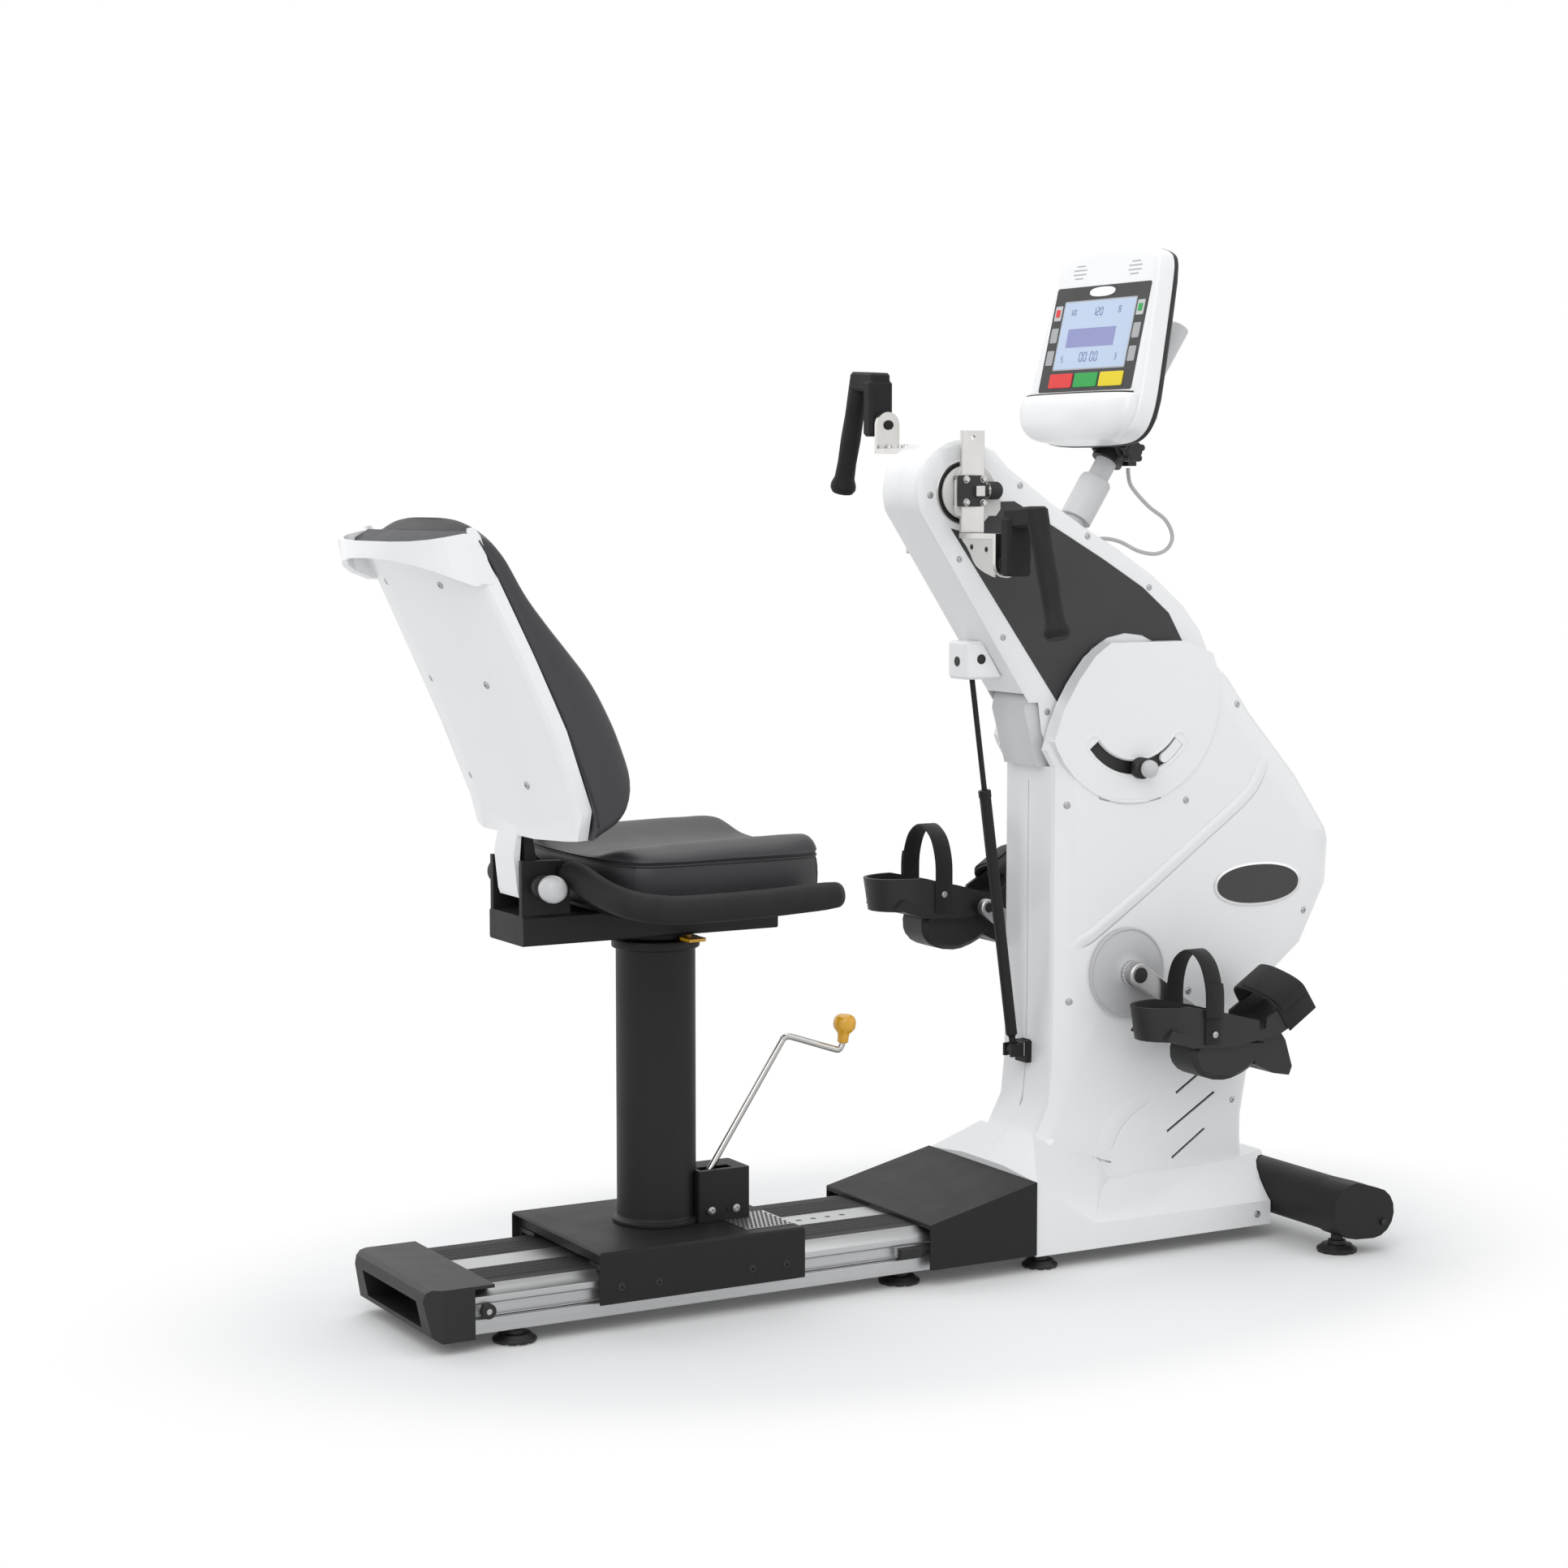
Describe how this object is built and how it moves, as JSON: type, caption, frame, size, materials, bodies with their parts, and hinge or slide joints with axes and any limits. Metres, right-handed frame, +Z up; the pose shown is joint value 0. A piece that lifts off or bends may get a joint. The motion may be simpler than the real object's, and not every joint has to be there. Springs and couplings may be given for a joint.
{
  "type": "total body trainer",
  "caption": "Seated cross trainer: swivel seat on a sliding rail, pedal cranks with strapped footplates, tilting arm with hand cranks and a display.",
  "frame": {"origin": "middle of the bounding box at floor level, under the rail and the pedal tower", "axes": "+X forward, from the seat towards the pedal tower; +Y to the left of the person who sits on it; +Z up"},
  "size_m": [1.6974, 0.6676, 1.612],
  "materials": {
    "aluminium": "silver anodised extrusion",
    "black_plastic": "fine-grained black plastic",
    "black_steel": "black powder coat",
    "bright_steel": "bright plated steel",
    "dark_panel": "textured dark grey panel",
    "pale_plastic": "pale grey plastic",
    "rubber": "matte black foam rubber",
    "vinyl": "dark upholstery vinyl",
    "webbing": "black woven webbing",
    "white_plastic": "satin white moulded plastic",
    "white_steel": "white powder coat",
    "yellow_plastic": "yellow plastic"
  },
  "bodies": {
    "frame": {"rail_beam": "aluminium", "rear_end_cap": "black_plastic", "wedge_cover": "black_plastic", "tower_frame": "white_steel", "housing_left": "white_plastic", "housing_right": "white_plastic", "pivot_shaft": "bright_steel", "front_stabiliser": "black_plastic", "drive_belt": "rubber", "transfer_belt": "rubber"},
    "carriage": {"carriage_cover": "black_steel", "glide_left": "pale_plastic", "glide_right": "pale_plastic", "seat_column": "black_steel", "lever_box": "black_steel"},
    "lever": {"slide_lever": "bright_steel"},
    "pin": {"index_pin": "bright_steel"},
    "seat": {"seat_base": "black_steel", "seat_cushion": "vinyl", "armrest_left": "rubber", "armrest_right": "rubber"},
    "release": {"swivel_release": "yellow_plastic"},
    "backrest": {"back_shell": "white_plastic", "back_cushion": "vinyl", "back_upright": "black_steel"},
    "backrest_knob": {"back_knob": "pale_plastic"},
    "crank": {"crank_axle": "bright_steel", "crank_arm_left": "bright_steel", "crank_arm_right": "bright_steel"},
    "footplate_left": {"pedal_left": "black_plastic", "toe_strap_left": "webbing", "ankle_strap_left": "webbing"},
    "footplate_right": {"pedal_right": "black_plastic", "toe_strap_right": "webbing", "ankle_strap_right": "webbing"},
    "transfer": {"transfer_pulley": "aluminium"},
    "wheel_of_inertia": {"flywheel": "bright_steel"},
    "arm": {"arm_shell_left": "white_plastic", "arm_shell_right": "white_plastic", "arm_panel_left": "dark_panel", "arm_panel_right": "dark_panel", "arm_frame": "black_steel", "spring_block": "white_plastic", "console_mast": "white_steel", "arm_belt": "rubber", "console_cable": "pale_plastic"},
    "arm_knob": {"arm_lock_knob": "black_plastic"},
    "spring_tube": {"gas_cylinder": "black_plastic"},
    "spring_rod": {"gas_rod": "black_steel"},
    "hand_cranks": {"hand_crank_axle": "bright_steel", "hand_crank_left": "bright_steel", "hand_crank_right": "bright_steel"},
    "grip_left": {"handle_left": "rubber"},
    "grip_right": {"handle_right": "rubber"},
    "clamp": {"console_clamp": "black_plastic"},
    "console": {"console_front": "white_plastic", "console_back": "dark_panel"},
    "clamp_knob": {"console_knob": "black_plastic"},
    "roller_left": {"wheel_left": "black_plastic"},
    "roller_right": {"wheel_right": "black_plastic"}
  },
  "joints": [
    {"name": "seat_slide", "type": "slide", "parent": "frame", "child": "carriage", "axis": [1, 0, 0], "range_m": [-0.155, 0.165]},
    {"name": "slide_lever_lift", "type": "hinge", "parent": "carriage", "child": "lever", "pos_m": [-0.32725, -0.04, 0.165], "axis": [0, -1, 0], "range_deg": [0, 13.9], "stiffness_Nm_per_rad": 9, "springref_deg": -20.05},
    {"name": "index_pin_lift", "type": "slide", "parent": "carriage", "child": "pin", "axis": [0, 0, 1], "range_m": [0, 0.0075]},
    {"name": "seat_swivel", "type": "hinge", "parent": "carriage", "child": "seat", "pos_m": [-0.38825, 0, 0.6], "axis": [0, 0, 1], "range_deg": [-90, 90]},
    {"name": "swivel_release_turn", "type": "hinge", "parent": "seat", "child": "release", "pos_m": [-0.36125, -0.056, 0.58], "axis": [0, 0, 1], "range_deg": [0, 20], "stiffness_Nm_per_rad": 0.6, "springref_deg": -17.19},
    {"name": "backrest_tilt", "type": "hinge", "parent": "seat", "child": "backrest", "pos_m": [-0.60625, 0, 0.65], "axis": [0, -1, 0], "range_deg": [0, 20]},
    {"name": "backrest_knob_turn", "type": "hinge", "parent": "backrest", "child": "backrest_knob", "pos_m": [-0.60625, -0.095, 0.65], "axis": [0, 1, 0], "range_deg": [0, 180]},
    {"name": "pedal_crank", "type": "hinge", "parent": "frame", "child": "crank", "pos_m": [0.41575, 0, 0.45], "axis": [0, 1, 0], "continuous": true},
    {"name": "pedal_left_turn", "type": "hinge", "parent": "crank", "child": "footplate_left", "pos_m": [0.2831, 0.19, 0.53947], "axis": [0, 1, 0], "continuous": true},
    {"name": "pedal_right_turn", "type": "hinge", "parent": "crank", "child": "footplate_right", "pos_m": [0.5484, -0.19, 0.36053], "axis": [0, 1, 0], "continuous": true},
    {"name": "transfer_pulley_turn", "type": "hinge", "parent": "frame", "child": "transfer", "pos_m": [0.43275, 0, 0.884], "axis": [0, 1, 0], "continuous": true},
    {"name": "flywheel_spin", "type": "hinge", "parent": "frame", "child": "wheel_of_inertia", "pos_m": [0.64375, 0, 0.575], "axis": [0, 1, 0], "continuous": true},
    {"name": "arm_tilt", "type": "hinge", "parent": "frame", "child": "arm", "pos_m": [0.43275, 0, 0.884], "axis": [0, 1, 0], "range_deg": [-15, 15]},
    {"name": "arm_lock_turn", "type": "hinge", "parent": "arm", "child": "arm_knob", "pos_m": [0.43675, 0, 0.779], "axis": [0, 1, 0], "range_deg": [0, 180]},
    {"name": "gas_spring_swing", "type": "hinge", "parent": "frame", "child": "spring_tube", "pos_m": [0.25775, 0, 0.324], "axis": [0, 1, 0], "range_deg": [-4, 4]},
    {"name": "gas_spring_stroke", "type": "slide", "parent": "spring_tube", "child": "spring_rod", "axis": [-0.1372, 0, 0.9905], "range_m": [-0.08, 0.08]},
    {"name": "hand_crank_turn", "type": "hinge", "parent": "arm", "child": "hand_cranks", "pos_m": [0.12175, 0, 1.218], "axis": [0, 1, 0], "continuous": true},
    {"name": "grip_left_turn", "type": "hinge", "parent": "hand_cranks", "child": "grip_left", "pos_m": [0.12175, 0.2, 1.326], "axis": [0, 1, 0], "continuous": true},
    {"name": "grip_right_turn", "type": "hinge", "parent": "hand_cranks", "child": "grip_right", "pos_m": [0.12175, -0.2, 1.11], "axis": [0, 1, 0], "continuous": true},
    {"name": "console_height", "type": "slide", "parent": "arm", "child": "clamp", "axis": [0.5436, 0, 0.8393], "range_m": [0, 0.1], "deforming": ["console_cable"]},
    {"name": "console_tilt", "type": "hinge", "parent": "clamp", "child": "console", "pos_m": [0.44025, 0, 1.2845], "axis": [0, 1, 0], "range_deg": [-15, 10]},
    {"name": "console_knob_turn", "type": "hinge", "parent": "clamp", "child": "clamp_knob", "pos_m": [0.44025, 0, 1.2845], "axis": [0, 1, 0], "range_deg": [0, 180]},
    {"name": "wheel_left_roll", "type": "hinge", "parent": "frame", "child": "roller_left", "pos_m": [0.75725, 0.296, 0.05], "axis": [0, 1, 0], "continuous": true},
    {"name": "wheel_right_roll", "type": "hinge", "parent": "frame", "child": "roller_right", "pos_m": [0.75725, -0.296, 0.05], "axis": [0, 1, 0], "continuous": true}
  ],
  "couplings": [
    {"joint": "index_pin_lift", "follows": "slide_lever_lift", "m_per_rad": 0.0309},
    {"joint": "transfer_pulley_turn", "follows": "pedal_crank", "ratio": 1},
    {"joint": "hand_crank_turn", "follows": "pedal_crank", "ratio": 1},
    {"joint": "flywheel_spin", "follows": "pedal_crank", "ratio": 5},
    {"joint": "gas_spring_swing", "follows": "arm_tilt", "ratio": 0.154},
    {"joint": "gas_spring_stroke", "follows": "arm_tilt", "m_per_rad": 0.25}
  ]
}
